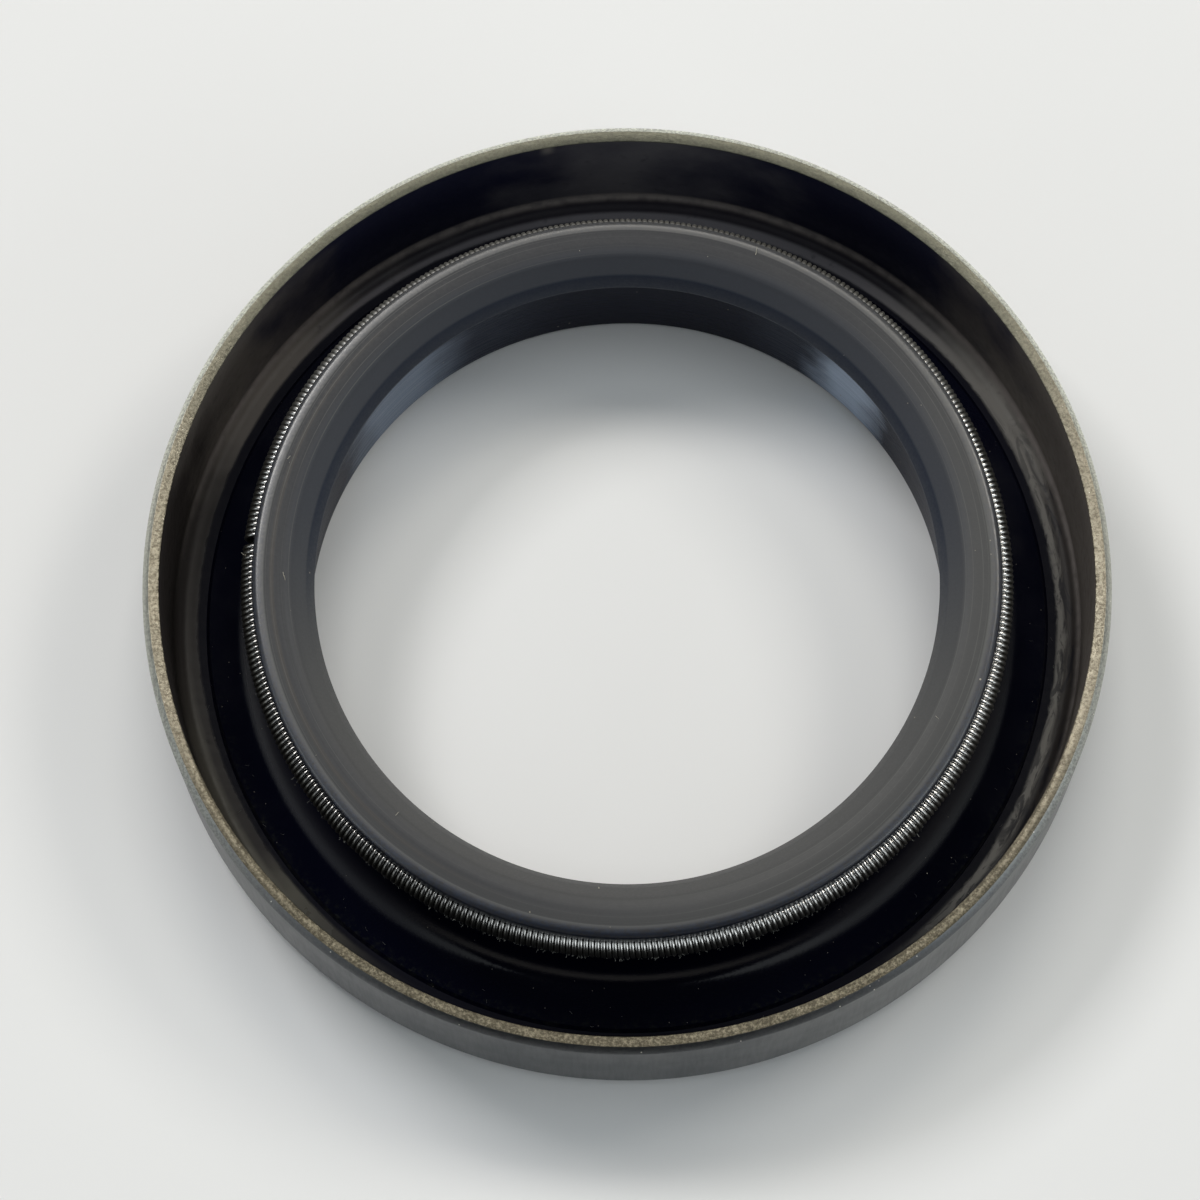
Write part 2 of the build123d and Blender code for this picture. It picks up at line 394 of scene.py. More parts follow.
def makeInsideFilm():
    # uneven dark film inside the cup, with painted shade and painted highlights round the ring, and a pale
    # line along the top of the bend
    finish = caseFinish
    navy, grey, brown, dim, dark, olive, black, umber, filmHighlight = (
        finish[name] for name in ("filmNavy", "filmGrey", "filmBrown", "filmDim", "filmDark", "filmOlive",
                                  "filmBlack", "filmUmber", "filmHighlight"))
    material, tree, shader = startMaterial("insideFilm")
    ring = ringPlaces(tree)
    up, across = ring["up"], ring["across"]
    patches = grain(tree, ring["place"], 0.12, 4.0)
    fine = grain(tree, ring["place"], 1.2, 5.0)
    smears = streaked(tree, ring, times(tree, across, 1.5), 11.0)
    swirl = addNode(tree, "ShaderNodeTexNoise", Vector=smears, Scale=1.0, Detail=5.0, Roughness=0.62,
                    Distortion=0.8).outputs["Fac"]

    # tones round the ring, for the wall, the bend and the flat beside it: uneven film with painted light,
    # black towards the near side as painted shade, and the pale tone to the right as painted highlight
    wander = swing(tree, patches, 0.12)
    wall = roundTheRing(tree, ring, [
        (-180, dim), (-90, black), (-20, brown), (28, brown), (48, navy), (68, navy), (90, grey),
        (112, navy), (130, navy), (150, brown), (170, dim), (180, dim)], wander)
    bend = roundTheRing(tree, ring, [
        (-180, dim), (-135, olive), (-95, black), (-50, black), (-10, dim), (8, dim), (30, filmHighlight),
        (50, umber), (118, umber), (145, brown), (166, dim), (180, dim)], wander)
    flat = roundTheRing(tree, ring, [
        (-180, dark), (-150, dark), (-135, olive), (-95, black), (-62, black), (-35, filmHighlight), (30, filmHighlight),
        (60, grey), (118, grey), (148, brown), (168, dark), (180, dark)], wander)
    colour = mixColours(tree, fade(tree, up, *finish["bendTop"]), bend, wall)
    blotchSide = fade(tree, facing(tree, ring, finish["blotchSide"]), 0.55, 0.95)
    unevenness = calc(tree, "MULTIPLY_ADD", blotchSide, 1.2, 0.1)
    step = calc(tree, "MULTIPLY_ADD", calc(tree, "SUBTRACT", swirl, 0.5), unevenness, across)
    colour = mixColours(tree, fade(tree, step, *finish["flatEnd"]), flat, colour)

    # blotches low on the right, and fine mottling
    low = fade(tree, up, *finish["blotchTop"], 1.0, 0.0)
    blotched = times(tree, blotchSide, low, fade(tree, swirl, 0.48, 0.6), 0.8)
    colour = mixColours(tree, blotched, colour, black)
    colour = mixColours(tree, fade(tree, fine, 0.6, 0.8, 0.0, 0.4), colour, black)

    # glossy rubber smeared past the skin's edge, and painted shade: black all over at the near side
    leftSmear = fade(tree, facing(tree, ring, finish["leftSmear"]), 0.3, 0.95, 0.0, 0.3)
    rightSmear = fade(tree, facing(tree, ring, finish["rightSmear"]), 0.5, 0.95, 0.0, 0.25)
    smeared = calc(tree, "SUBTRACT", across, calc(tree, "ADD", leftSmear, rightSmear))
    raggedness = calc(tree, "MULTIPLY_ADD", rightSmear, 3.0, 0.2)
    smearEdge = calc(tree, "MULTIPLY_ADD", calc(tree, "SUBTRACT", swirl, 0.5), raggedness, smeared)
    # painted shade: the near side is left black
    clearOfSmearAndShade = times(tree, fade(tree, smearEdge, *finish["smearEnd"]), fade(tree, ring["sine"], -0.9, -0.6))
    colour = mixColours(tree, clearOfSmearAndShade, black, colour)

    # a pale run under the rim, and a pale line along the top of the bend, mostly on the far half
    besideRun = distanceFrom(tree, ring["angle"], finish["runSide"])
    run = times(tree, fade(tree, besideRun, 0.0, finish["runHalfWidth"], 1.0, 0.0),
                fade(tree, up, *finish["runHeight"]))
    colour = mixColours(tree, run, colour, finish["paleLine"])
    wavyHeight = calc(tree, "ADD", up, swing(tree, patches, 0.2))
    line = times(tree, fade(tree, wavyHeight, *finish["lineLow"]),
                 fade(tree, wavyHeight, *finish["lineHigh"], 1.0, 0.0),
                 fade(tree, facing(tree, ring, finish["lineSide"]), -0.4, 0.2),
                 fade(tree, fine, 0.25, 0.6, 0.55, 1.0))
    colour = mixColours(tree, line, colour, finish["paleLine"])
    roughness = mixValues(tree, clearOfSmearAndShade, 0.16, fade(tree, fine, 0.3, 0.7, 0.3, 0.44))
    coat(tree, shader, (fine, 0.25, 0.06), Base_Color=colour, Specular_IOR_Level=0.3, Roughness=roughness)
    return material


def caseSlotFor(radius, height):
    # 0 cut edge, 1 chamfer, 2 outside, 3 inside
    outer, top, inner = caseSizes["outer"], caseSizes["top"], caseSizes["outer"] - caseSizes["sheet"]
    if radius < inner + caseSizes["slack"] and height > caseSizes["insideStart"]:
        return 3
    if height < top - caseSizes["rimChamfer"]:
        return 2
    return 1 if radius > outer - caseSizes["rimChamfer"] else 0


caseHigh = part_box("outer_case")[1]
caseSizes = {
    "outer": caseHigh[0] / mm,
    "top": caseHigh[2] / mm,
    "sheet": 1.2,            # thickness of the drawn sheet
    "cornerRound": 2.2,      # outside of the bend
    "rimChamfer": 0.45,
    "rimFall": 0.12,         # the cut edge is lower at its inner side
    "edgeBreak": 0.06,       # tiny rounds on the cut edges
    "flangeEdge": 25.2,      # radius of the flange's inner edge
    "insideStart": 0.1,      # the inside finish starts this far above the back
    "slack": 0.005,          # room for the middle of a face that lies on the inner wall
    "smoothUnder": 40,       # degrees between faces, past which an edge stays sharp
    "ringSteps": 300,
}


def caseOutline(sizes):
    outer, top = sizes["outer"], sizes["top"]
    inner = outer - sizes["sheet"]
    floor = sizes["sheet"]
    chamfer, tiny = sizes["rimChamfer"], sizes["edgeBreak"]
    hole = sizes["flangeEdge"]
    corners = [                # place, round and its steps
        ((hole, 0), tiny, 2),
        ((outer, 0), sizes["cornerRound"], 10),
        ((outer, top - chamfer), tiny, 2),
        ((outer - chamfer, top), tiny, 2),
        ((inner, top - sizes["rimFall"]), tiny, 3),
        ((inner, floor), sizes["cornerRound"] - sizes["sheet"], 8),
        ((hole, floor), tiny, 2),
    ]
    points = []
    for number, (corner, radius, steps) in enumerate(corners):
        before = corners[number - 1][0]
        after = corners[(number + 1) % len(corners)][0]
        points += roundOff(before, corner, after, radius, steps)
    return points


def buildCase():
    sizes = caseSizes
    piece = drawSection("caseShell", caseOutline(sizes))
    turnSection(piece, sizes["ringSteps"])
    smoothOver(piece, sizes["smoothUnder"])
    fillSlots(piece, [makeCutEdge(), makeChamfer(), makeSlateWall(), makeInsideFilm()], caseSlotFor)
    seat(piece, "outer_case")


buildCase()
print("outer case modelled")


# the moulded rubber lip

rubberFinish = {
    "face": (0.035, 0.036, 0.0395, 1),
    "faceLight": (0.046, 0.047, 0.0505, 1),
    "facePale": (0.066, 0.066, 0.066, 1),
    "faceFar": (0.029, 0.030, 0.034, 1),
    "faceBrown": (0.070, 0.060, 0.050, 1),     # browned band on the left
    "slope": (0.052, 0.056, 0.067, 1),
    "slopeNear": (0.082, 0.082, 0.082, 1),
    "contactBand": (0.012, 0.018, 0.034, 1),
    "corner": (0.016, 0.015, 0.016, 1),
    "mouldLine": (0.105, 0.107, 0.103, 1),
    "gloss": (0.0008, 0.0011, 0.0065, 1),
    "paleClouds": (0.030, 0.033, 0.022, 1),
    "boreBlack": (0.003, 0.004, 0.014, 1),
    "boreShine": (0.6, 0.75, 1.0, 1),
    "paintedReflection": (0.42, 0.50, 0.63, 1),
    "dust": (0.30, 0.27, 0.22, 1),
    # places in millimetres: from the axis, or up from the back
    "slopeEnd": (23.0, 24.5),
    "paleOuterStart": (24.5, 25.2),
    "bandTop": (11.7, 11.95),
    "brownStart": (24.6, 24.75),
    "brownEnd": (24.9, 25.05),
    "mouldRings": (                            # radius and half width of each
        (25.4, 0.05), (25.25, 0.035), (24.85, 0.04), (24.15, 0.03), (23.65, 0.04)),
    "cornerBlend": (25.75, 25.43),
    "cornerPolish": (25.43, 25.85),
    "paleCloudsStart": (29.2, 30.4),
    "rootSide": (28.4, 27.6),
    "rootHeight": (3.6, 2.6),
    # directions in radians from +X
    "paintedLightSide": -0.55,
    "farTurn": 0.35,
    "brownSide": 3.25,
    "ringSides": -0.3,
    "weakHighlightSide": 3.0,
    "paintedReflections": (                                # direction, half width and strength of each
        (0.79, 0.12, 0.9), (2.38, 0.20, 0.42), (1.0, 0.14, 0.04), (2.2, 0.30, 0.045)),
}


def makeMattRubber():
    # moulded front face: matt grey, paler to the near right by painted light and darker at the far side by
    # painted shade, with faint rings left by the mould
    finish = rubberFinish
    material, tree, shader = startMaterial("mattRubber")
    ring = ringPlaces(tree)
    across, up, sine = ring["across"], ring["up"], ring["sine"]
    outAndUp = calc(tree, "MULTIPLY_ADD", across, 4.0, times(tree, up, 3.0))
    streaks = grain(tree, streaked(tree, ring, outAndUp, 1.0), 1.0, 5.0, 0.65)
    fine = grain(tree, ring["place"], 5.0, 5.0, 0.6)
    colour = mixColours(tree, fade(tree, streaks, 0.3, 0.7), finish["face"], finish["faceLight"])
    # painted light paler to the near right, and painted shade darker at the far side
    paintedLightSide = fade(tree, facing(tree, ring, finish["paintedLightSide"]), 0.0, 1.0, 0.0, 0.85)
    colour = mixColours(tree, paintedLightSide, colour, finish["facePale"])
    turned = calc(tree, "SINE", calc(tree, "SUBTRACT", ring["angle"], finish["farTurn"]))
    colour = mixColours(tree, fade(tree, turned, 0.0, 0.9, 0.0, 0.7), colour, finish["faceFar"])

    # the slope inside the face, darker at the far side and paler at the near side by painted shade and
    # light; a paler outer part, more so at the near side; and the contact band
    slope = mixColours(tree, fade(tree, sine, 0.3, -0.5), finish["slope"], finish["slopeNear"])
    colour = mixColours(tree, fade(tree, across, *finish["slopeEnd"], 1.0, 0.0), colour, slope)
    paleOuter = times(tree, fade(tree, across, *finish["paleOuterStart"]), fade(tree, sine, 0.4, -0.4, 0.1, 0.5))
    colour = mixColours(tree, paleOuter, colour, finish["facePale"])
    band = times(tree, fade(tree, up, *finish["bandTop"], 1.0, 0.0), fade(tree, sine, -0.25, 0.25))
    colour = mixColours(tree, band, colour, finish["contactBand"])
    browned = times(tree, fade(tree, across, *finish["brownStart"]),
                    fade(tree, across, *finish["brownEnd"], 1.0, 0.0),
                    fade(tree, facing(tree, ring, finish["brownSide"]), 0.3, 0.95, 0.0, 0.4))
    colour = mixColours(tree, browned, colour, finish["faceBrown"])

    # mould rings, strongest at both sides
    rings = 0.0
    for radius, halfWidth in finish["mouldRings"]:
        offset = distanceFrom(tree, across, radius)
        rings = calc(tree, "ADD", fade(tree, offset, halfWidth * 0.4, halfWidth, 1.0, 0.0), rings)
    sideways = calc(tree, "ABSOLUTE", facing(tree, ring, finish["ringSides"]))
    strength = times(tree, fade(tree, streaks, 0.35, 0.6, 0.1, 0.7),
                     fade(tree, sideways, 0.2, 0.9, 0.2, 1.0))
    colour = mixColours(tree, times(tree, rings, strength), colour, finish["mouldLine"])
    colour = mixColours(tree, specks(tree, ring, 0.9, 0.04, 0.86), colour, finish["dust"])
    height = calc(tree, "ADD", times(tree, streaks, 0.7), times(tree, fine, 0.3))
    coat(tree, shader, (height, 0.25, 0.03), Base_Color=colour, Specular_IOR_Level=0.35,
         Roughness=fade(tree, fine, 0.3, 0.7, 0.55, 0.68))
    return material


def makeCornerRubber():
    # rounded outer corner of the head: polished by the mould, with a painted highlight on its far side,
    # weaker to the left
    finish = rubberFinish
    material, tree, shader = startMaterial("cornerRubber")
    ring = ringPlaces(tree)
    across = ring["across"]
    fine = grain(tree, ring["place"], 5.0, 5.0, 0.6)
    colour = mixColours(tree, fade(tree, fine, 0.3, 0.7), finish["corner"], finish["contactBand"])
    # painted highlight: paler on the far side, less so at the left
    leftSide = fade(tree, facing(tree, ring, finish["weakHighlightSide"]), 0.75, 1.0, 1.0, 0.4)
    farHighlight = times(tree, fade(tree, ring["sine"], -0.3, 0.6, 0.0, 0.62), leftSide)
    colour = mixColours(tree, farHighlight, colour, finish["facePale"])
    start = times(tree, fade(tree, across, *finish["cornerBlend"]), fade(tree, farHighlight, 0.0, 0.6, 0.9, 0.15))
    colour = mixColours(tree, start, colour, finish["facePale"])
    colour = mixColours(tree, specks(tree, ring, 0.9, 0.05, 0.85), colour, finish["dust"])
    polish = fade(tree, across, *finish["cornerPolish"], 0.62, 0.34)
    coat(tree, shader, (fine, 0.2, 0.03), Base_Color=colour, Specular_IOR_Level=1.0,
         Roughness=times(tree, polish, fade(tree, fine, 0.3, 0.7, 0.9, 1.1)))
    return material


def makeGlossRubber():
    # skin, flexing wall and back: black and shiny, paler in clouds along the skin's outer part at the near
    # side, with a little dust
    finish = rubberFinish
    material, tree, shader = startMaterial("glossRubber")
    ring = ringPlaces(tree)
    across, sine = ring["across"], ring["sine"]
    patches = grain(tree, ring["place"], 0.2, 4.0)
    cloud = grain(tree, ring["place"], 2.6, 5.0, 0.7)
    paleClouds = times(tree, fade(tree, across, *finish["paleCloudsStart"]), fade(tree, sine, 0.2, -0.6),
                 fade(tree, cloud, 0.45, 0.8, 0.0, 0.6))
    colour = mixColours(tree, paleClouds, finish["gloss"], finish["paleClouds"])
    dusty = times(tree, specks(tree, ring, 2.4, 0.06, 0.88), 0.6)
    colour = mixColours(tree, dusty, colour, finish["dust"])
    root = times(tree, fade(tree, across, *finish["rootSide"]),
                 fade(tree, ring["up"], *finish["rootHeight"]), fade(tree, sine, -0.96, -0.78))
    roughness = mixValues(tree, root, fade(tree, patches, 0.3, 0.7, 0.08, 0.15), 0.3)
    coat(tree, shader, (grain(tree, ring["place"], 4.0, 4.0), 0.15, 0.03), Base_Color=colour,
         Specular_IOR_Level=0.42, Roughness=roughness)
    return material


def makeBoreRubber():
    # bore: black and shiny, with soft pale streaks down its far side: painted reflections of the lit floor
    finish = rubberFinish
    material, tree, shader = startMaterial("boreRubber")
    ring = ringPlaces(tree)
    cloud = grain(tree, ring["place"], 0.35, 3.0)
    turned = calc(tree, "MULTIPLY_ADD", calc(tree, "SUBTRACT", cloud, 0.5), 0.12, ring["angle"])
    # painted reflections: pale streaks at given directions round the ring
    paintedReflection = 0.0
    for direction, halfWidth, strength in finish["paintedReflections"]:
        offset = distanceFrom(tree, turned, direction)
        paintedReflection = calc(tree, "ADD", fade(tree, offset, halfWidth * 0.3, halfWidth * 1.6, strength, 0.0), paintedReflection)
    colour = mixColours(tree, paintedReflection, finish["boreBlack"], finish["paintedReflection"])
    colour = mixColours(tree, specks(tree, ring, 1.2, 0.06, 0.85), colour, finish["dust"])
    ridges = grain(tree, streaked(tree, ring, times(tree, ring["up"], 12.0), 1.0), 1.0, 3.0, 0.6)
    coat(tree, shader, (ridges, 0.2, 0.02), Base_Color=colour, Specular_IOR_Level=0.03,
         Specular_Tint=finish["boreShine"], Roughness=fade(tree, ridges, 0.3, 0.7, 0.22, 0.32))
    return material


def lipSlotFor(radius, height):
    # 0 front face, 1 its corner, 2 skin, flexing wall and back, 3 bore
    sizes = lipSizes
    if radius > sizes["faceEnd"][0] and height > sizes["springHeight"] + sizes["grooveRadius"]:
        return 1
    if height > sizes["contactLow"] - sizes["slack"] and radius < sizes["faceEnd"][0]:
        return 0
    if radius < sizes["boreBackRadius"] + sizes["slack"] and height > sizes["backRecess"]:
        return 3
    return 2


lipSizes = {
    "contactRadius": 22.0,
    "contactLow": 10.6,
    "contactHigh": 10.9,
    "boreBackRadius": 23.05,
    "boreTopRadius": 22.85,
    "boreTop": 8.9,
    "edgeSlope": (22.45, 11.75),   # end of the steep slope over the contact band
    "crease": (23.6, 13.25),       # inner crease of the front face
    "faceMiddle": (24.515, 13.355),
    "faceEnd": (25.43, 13.17),     # outer crease of the front face
    "headRadius": 26.25,
    "headRound": 0.5,
    "cornerTop": 13.12,
    "springHeight": 10.75,
    "grooveRadius": 0.97,
    "heel": (26.1, 9.6),
    "waist": (24.6, 6.5),
    "foot": (25.2, 3.4),
    "rootEnd": (28.4, 1.5),
    "skinEdge": 30.5,
    "sheetTop": 1.2,
    "flangeEdge": 25.2,
    "backRecess": 0.2,
    "backBevel": 0.3,
    "boreMiddle": 4.7,             # the bore narrows a little up to this height
    "boreNarrowing": 0.1,
    "boreRound": 0.8,
    "edgeRound": 0.25,
    "creaseRound": 0.8,
    "rootHollow": (0.75, 0.95),    # middle of the root fillet, out and down from the foot
    "skinBevel": 0.25,
    "slack": 0.01,                 # room for a face's middle beside a border between finishes
    "smoothUnder": 35,
    "ringSteps": 300,
}


def lipOutline(sizes):
    head, height = sizes["headRadius"], sizes["springHeight"]
    groove, skinTop = sizes["grooveRadius"], sizes["rootEnd"][1]
    cornerStart = (head - sizes["headRound"], sizes["cornerTop"])
    heel, foot, rootEnd = sizes["heel"], sizes["foot"], sizes["rootEnd"]
    contact = sizes["contactRadius"]
    points = [
        (sizes["boreBackRadius"], sizes["backRecess"] + sizes["backBevel"]),
        (sizes["boreBackRadius"] - sizes["boreNarrowing"], sizes["boreMiddle"]),
    ]
    points += roundOff(points[0], (sizes["boreTopRadius"], sizes["boreTop"]), (contact, sizes["contactLow"]),
                       sizes["boreRound"], 4)
    points += [(contact, sizes["contactLow"]), (contact, sizes["contactHigh"])]
    points += roundOff(points[-1], sizes["edgeSlope"], sizes["crease"], sizes["edgeRound"], 3)
    points += roundOff(sizes["edgeSlope"], sizes["crease"], sizes["faceMiddle"], sizes["creaseRound"], 6)
    # the first points of the face's arch lie inside the crease's round
    points += arcThrough(sizes["crease"], sizes["faceMiddle"], sizes["faceEnd"], 12)[3:-1]
    points += [sizes["faceEnd"], cornerStart]
    turned = math.sqrt(0.5) * sizes["headRound"]
    cornerMiddle = (head - sizes["headRound"] + turned, sizes["cornerTop"] - sizes["headRound"] + turned)
    points += arcThrough(cornerStart, cornerMiddle, (head, sizes["cornerTop"] - sizes["headRound"]), 8)
    points += [(head, height + groove)]
    points += arcThrough((head, height + groove), (head - groove, height), (head, height - groove), 14)
    points += [heel]
    points += arcThrough(heel, sizes["waist"], foot, 12)
    rootMiddle = (foot[0] + sizes["rootHollow"][0], foot[1] - sizes["rootHollow"][1])
    points += arcThrough(foot, rootMiddle, rootEnd, 8)
    points += [
        (sizes["skinEdge"] - sizes["skinBevel"], skinTop),
        (sizes["skinEdge"], sizes["sheetTop"]),
        (sizes["flangeEdge"], sizes["sheetTop"]),
        (sizes["flangeEdge"], sizes["backRecess"]),
        (sizes["boreBackRadius"] + sizes["backBevel"], sizes["backRecess"]),
    ]
    return points


def buildLip():
    sizes = lipSizes
    piece = drawSection("lipRubber", lipOutline(sizes))
    turnSection(piece, sizes["ringSteps"])
    smoothOver(piece, sizes["smoothUnder"])
    finishes = [makeMattRubber(), makeCornerRubber(), makeGlossRubber(), makeBoreRubber()]
    fillSlots(piece, finishes, lipSlotFor)
    seat(piece, "sealing_lip")


buildLip()
print("sealing lip modelled")


# the coil spring in its groove

springFinish = {
    "wire": (0.93, 0.92, 0.90, 1),
    "wireMid": (0.66, 0.655, 0.64, 1),
    "wireDull": (0.34, 0.335, 0.325, 1),
    "grimyShade": (0.09, 0.088, 0.075, 1),
    "grimyShadeTop": (10.2, 10.9),      # grime and painted shade thin out between these heights
    "outerGrimyShade": (26.55, 26.9),   # and on the outer half grow between these radii
}


def makeWire():
    # drawn wire with painted light and shade round the ring, brighter to the near right and duller at the
    # far side; darker below and on its outer half by grime and painted shade
    finish = springFinish
    bright, mid, dull = finish["wire"], finish["wireMid"], finish["wireDull"]
    material, tree, shader = startMaterial("springWire")
    ring = ringPlaces(tree)
    sine = ring["sine"]
    patches = grain(tree, ring["place"], 0.6, 4.0)
    # grime with painted shade: dark below, reaching higher at the near side, and on the outer half of the
    # coil
    level = calc(tree, "SUBTRACT", ring["up"], fade(tree, sine, 0.3, -0.4, 0.0, 0.45))
    grimyShade = times(tree, fade(tree, level, *finish["grimyShadeTop"], 1.0, 0.0),
                  fade(tree, patches, 0.2, 0.5, 0.5, 1.0), fade(tree, sine, -0.3, 0.5, 1.0, 0.2))
    outerGrimyShade = times(tree, fade(tree, ring["across"], *finish["outerGrimyShade"]), 0.82)
    grimyShade = calc(tree, "MAXIMUM", grimyShade, outerGrimyShade)
    # painted light and shade round the ring: brighter to the near right, duller towards the far side
    wire = roundTheRing(tree, ring, [
        (-180, dull), (-120, dull), (-88, mid), (-58, bright), (-28, bright), (0, mid), (30, mid),
        (62, dull), (90, mid), (122, mid), (150, mid), (180, dull)])
    colour = mixColours(tree, grimyShade, wire, finish["grimyShade"])
    roughness = calc(tree, "ADD", fade(tree, grimyShade, 0.0, 1.0, 0.22, 0.42),
                     fade(tree, sine, 0.3, 0.8, 0.0, 0.4))
    coat(tree, shader, Base_Color=colour, Metallic=1.0, Roughness=roughness)
    return material


springSizes = {
    "ringRadius": 26.25,
    "height": 10.75,
    "coilRadius": 0.95,
    "wire": 0.38,
    "turns": 421,
    "joinGap": 0.08,
    "joinAngle": 175,        # degrees round the ring
    "wireSides": 8,
    "turnSteps": 16,
    "smoothUnder": 80,
}


def windCoil(name, coilRadius, wire, pitch, turns, sizes):
    # a wire section screwed along X
    clearSelection()
    bpy.ops.mesh.primitive_circle_add(
        vertices=sizes["wireSides"], radius=wire / 2 * mm, location=(0, 0, (coilRadius - wire / 2) * mm),
        rotation=(math.pi / 2, 0, 0))
    coil = bpy.context.object
    coil.name = name
    bpy.ops.object.transform_apply(location=True, rotation=True, scale=True)
    screw = coil.modifiers.new("wind", "SCREW")
    screw.axis = "X"
    screw.angle = 2 * math.pi
    screw.screw_offset = pitch * mm
    screw.steps = sizes["turnSteps"]
    screw.render_steps = sizes["turnSteps"]
    screw.iterations = turns
    screw.use_normal_calculate = True
    bpy.ops.object.modifier_apply(modifier="wind")
    return coil


def buildSpring():
    sizes = springSizes
    ringLength = 2 * math.pi * sizes["ringRadius"] - sizes["joinGap"]
    pitch = (ringLength - sizes["wire"]) / sizes["turns"]
    coil = windCoil("springCoil", sizes["coilRadius"], sizes["wire"], pitch, sizes["turns"], sizes)
    ends = [vertex.co.x for vertex in coil.data.vertices]
    length = max(ends) - min(ends)
    bend = coil.modifiers.new("ring", "SIMPLE_DEFORM")
    bend.deform_method = "BEND"
    bend.deform_axis = "Z"
    bend.angle = length / (sizes["ringRadius"] * mm)
    bpy.ops.object.modifier_apply(modifier="ring")
    coil.location = (0, -sizes["ringRadius"] * mm, sizes["height"] * mm)
    bpy.ops.object.transform_apply(location=True, rotation=True, scale=True)
    coil.rotation_euler = (0, 0, math.radians(sizes["joinAngle"] + 90))
    bpy.ops.object.transform_apply(location=True, rotation=True, scale=True)
    smoothOver(coil, sizes["smoothUnder"])
    coil.data.materials.append(makeWire())
    seat(coil, "garter_spring")


buildSpring()
print("garter spring wound")


# lint, hairs and specks of dirt caught on the seal

lintFinish = {
    "fibre": (0.22, 0.22, 0.20, 1),
    "fibreDark": (0.07, 0.07, 0.065, 1),
    "flake": (0.62, 0.58, 0.48, 1),
}


def makeLint():
    finish = lintFinish
    material, tree, shader = startMaterial("lintFibre")
    ring = ringPlaces(tree)
    shade = grain(tree, ring["place"], 2.5, 3.0)
    colour = mixColours(tree, fade(tree, shade, 0.35, 0.65), finish["fibreDark"], finish["fibre"])
    coat(tree, shader, Base_Color=colour, Roughness=fade(tree, shade, 0.3, 0.7, 0.7, 0.9))
    return material


def makeFlake():
    finish = lintFinish
    material, tree, shader = startMaterial("paleFlake")
    ring = ringPlaces(tree)
    shade = grain(tree, ring["place"], 6.0, 3.0)
    colour = mixColours(tree, fade(tree, shade, 0.35, 0.65, 0.0, 0.6), finish["flake"], finish["fibre"])
    coat(tree, shader, Base_Color=colour, Roughness=fade(tree, shade, 0.3, 0.7, 0.6, 0.85))
    return material


def ringPoint(radius, degrees, height):
    turn = math.radians(degrees)
    return (radius * math.cos(turn) * mm, radius * math.sin(turn) * mm, height * mm)


def drawFibre(place, thickness, steps):
    # a three-sided hair pulled out step by step, in millimetres
    clearSelection()
    aim = Vector(steps[0]).to_track_quat("Z", "Y").to_euler()
    bpy.ops.mesh.primitive_circle_add(vertices=3, radius=thickness * mm, fill_type="NGON", location=place,
                                      rotation=aim)
    fibre = bpy.context.object
    bpy.ops.object.transform_apply(location=True, rotation=True, scale=True)
    bpy.ops.object.mode_set(mode="EDIT")
    bpy.ops.mesh.select_all(action="SELECT")
    for step in steps:
        pull = [part * mm for part in step]
        bpy.ops.mesh.extrude_region_move(TRANSFORM_OT_translate={"value": pull})
    bpy.ops.mesh.select_all(action="SELECT")
    bpy.ops.mesh.normals_make_consistent(inside=False)
    bpy.ops.object.mode_set(mode="OBJECT")
    return fibre


def joinPieces(pieces, name, material):
    clearSelection()
    for piece in pieces:
        piece.select_set(True)
    bpy.context.view_layer.objects.active = pieces[0]
    bpy.ops.object.join()
    joined = bpy.context.object
    joined.name = name
    joined.data.materials.append(material)
    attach(joined, "root")


lintSizes = {
    "fuzz": 300,                 # fibres on the underside of the spring
    "fuzzSpan": (196, 352),      # degrees round the ring
    "fuzzMost": 272,             # where they are thickest
    "fuzzTilt": (-5, 55),        # degrees below the spring's middle
    "fuzzReach": 0.93,           # from the middle of the wire's coil
    "fuzzThickness": (0.012, 0.035),
    "fuzzStep": 0.075,
    "skinHairs": 46,             # hairs lying on the skin and the steel beside it
    "skinHairSpan": (188, 358),
    "skinHairPlaces": (28.9, 32.0),
    "skinHairStep": (0.04, 0.14),
    "skinHairThickness": 0.014,
    "skinEnd": 30.2,
    "onSkin": 1.53,
    "onSteel": 1.23,
    "hairThickness": 0.022,
    "hairs": [                   # radius, degrees, height, and how far each runs across and along the ring
        (24.0, 180.5, 13.33, -0.10, 0.62),
        (25.1, 160.5, 13.28, 0.16, 0.30),
        (25.2, 68.5, 13.26, 0.62, 0.05),
        (24.1, 333.0, 13.33, -0.28, 0.12),
        (23.8, 228.0, 13.32, -0.35, 0.05),
        (26.4, 47.0, 12.0, 0.30, -0.15),
        (26.9, 175.6, 11.1, 0.25, 0.20),
        (27.0, 176.4, 11.2, 0.20, -0.22),
    ],
    "flakes": [                  # radius, degrees, height, size
        (22.62, 264.9, 11.95, 0.075),
        (25.0, 161.7, 13.27, 0.05),
        (24.0, 98.0, 13.3, 0.04),
        (24.0, 76.0, 13.3, 0.04),
        (24.0, 30.0, 13.3, 0.04),
        (25.3, 212.0, 13.2, 0.04),
        (22.5, 46.5, 11.8, 0.05),
        (22.15, 148.0, 11.1, 0.05),
        (22.1, 104.0, 11.0, 0.04),
        (27.1, 24.0, 10.9, 0.07),
        (27.0, 302.0, 10.9, 0.08),
        (26.9, 176.5, 11.3, 0.06),
        (29.2, 322.0, 1.55, 0.05),
        (28.6, 318.0, 1.57, 0.05),
    ],
}


